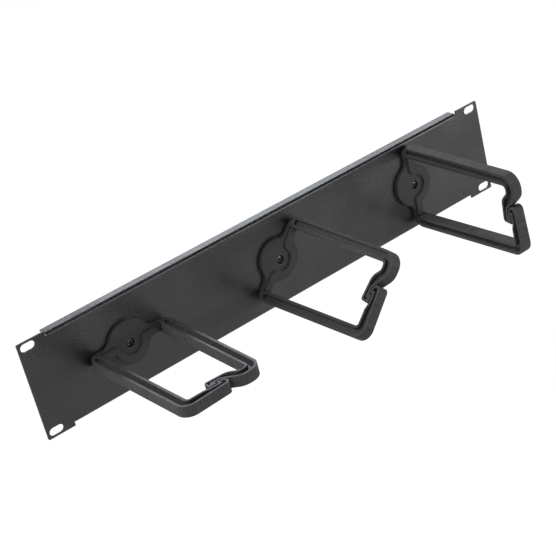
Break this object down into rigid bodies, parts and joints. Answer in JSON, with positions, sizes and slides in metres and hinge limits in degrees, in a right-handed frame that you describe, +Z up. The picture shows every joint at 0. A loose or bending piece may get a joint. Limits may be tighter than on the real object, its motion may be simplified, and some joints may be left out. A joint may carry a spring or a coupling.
{
  "type": "d-ring cable management panel",
  "caption": "Rack panel with folded flanges and slotted ears that carries swivelling plastic D-shaped rings for guiding cables across its front.",
  "frame": {"origin": "centre of the rack slot pattern on the panel's front face", "axes": "+X along the panel, +Y from the front face into the rack, +Z up; the rings stand towards -Y"},
  "size_m": [0.4826, 0.1462, 0.086],
  "materials": {
    "panel_coating": "black fine-texture powder coat",
    "ring_plastic": "black moulded plastic, satin",
    "screw_steel": "black oxide with bright cross recess",
    "zinc_steel": "bright zinc plate"
  },
  "bodies": {
    "panel": {"panel": "panel_coating", "left_screw": "screw_steel", "left_washer": "zinc_steel", "left_lock_nut": "zinc_steel", "centre_screw": "screw_steel", "centre_washer": "zinc_steel", "centre_lock_nut": "zinc_steel", "right_screw": "screw_steel", "right_washer": "zinc_steel", "right_lock_nut": "zinc_steel"},
    "left_ring": {"left_ring": "ring_plastic"},
    "centre_ring": {"centre_ring": "ring_plastic"},
    "right_ring": {"right_ring": "ring_plastic"}
  },
  "joints": [
    {"name": "left_swivel", "type": "hinge", "parent": "panel", "child": "left_ring", "pos_m": [-0.1524, 0, 0], "axis": [0, 1, 0], "continuous": true},
    {"name": "centre_swivel", "type": "hinge", "parent": "panel", "child": "centre_ring", "pos_m": [0, 0, 0], "axis": [0, 1, 0], "continuous": true},
    {"name": "right_swivel", "type": "hinge", "parent": "panel", "child": "right_ring", "pos_m": [0.1524, 0, 0], "axis": [0, 1, 0], "continuous": true}
  ]
}
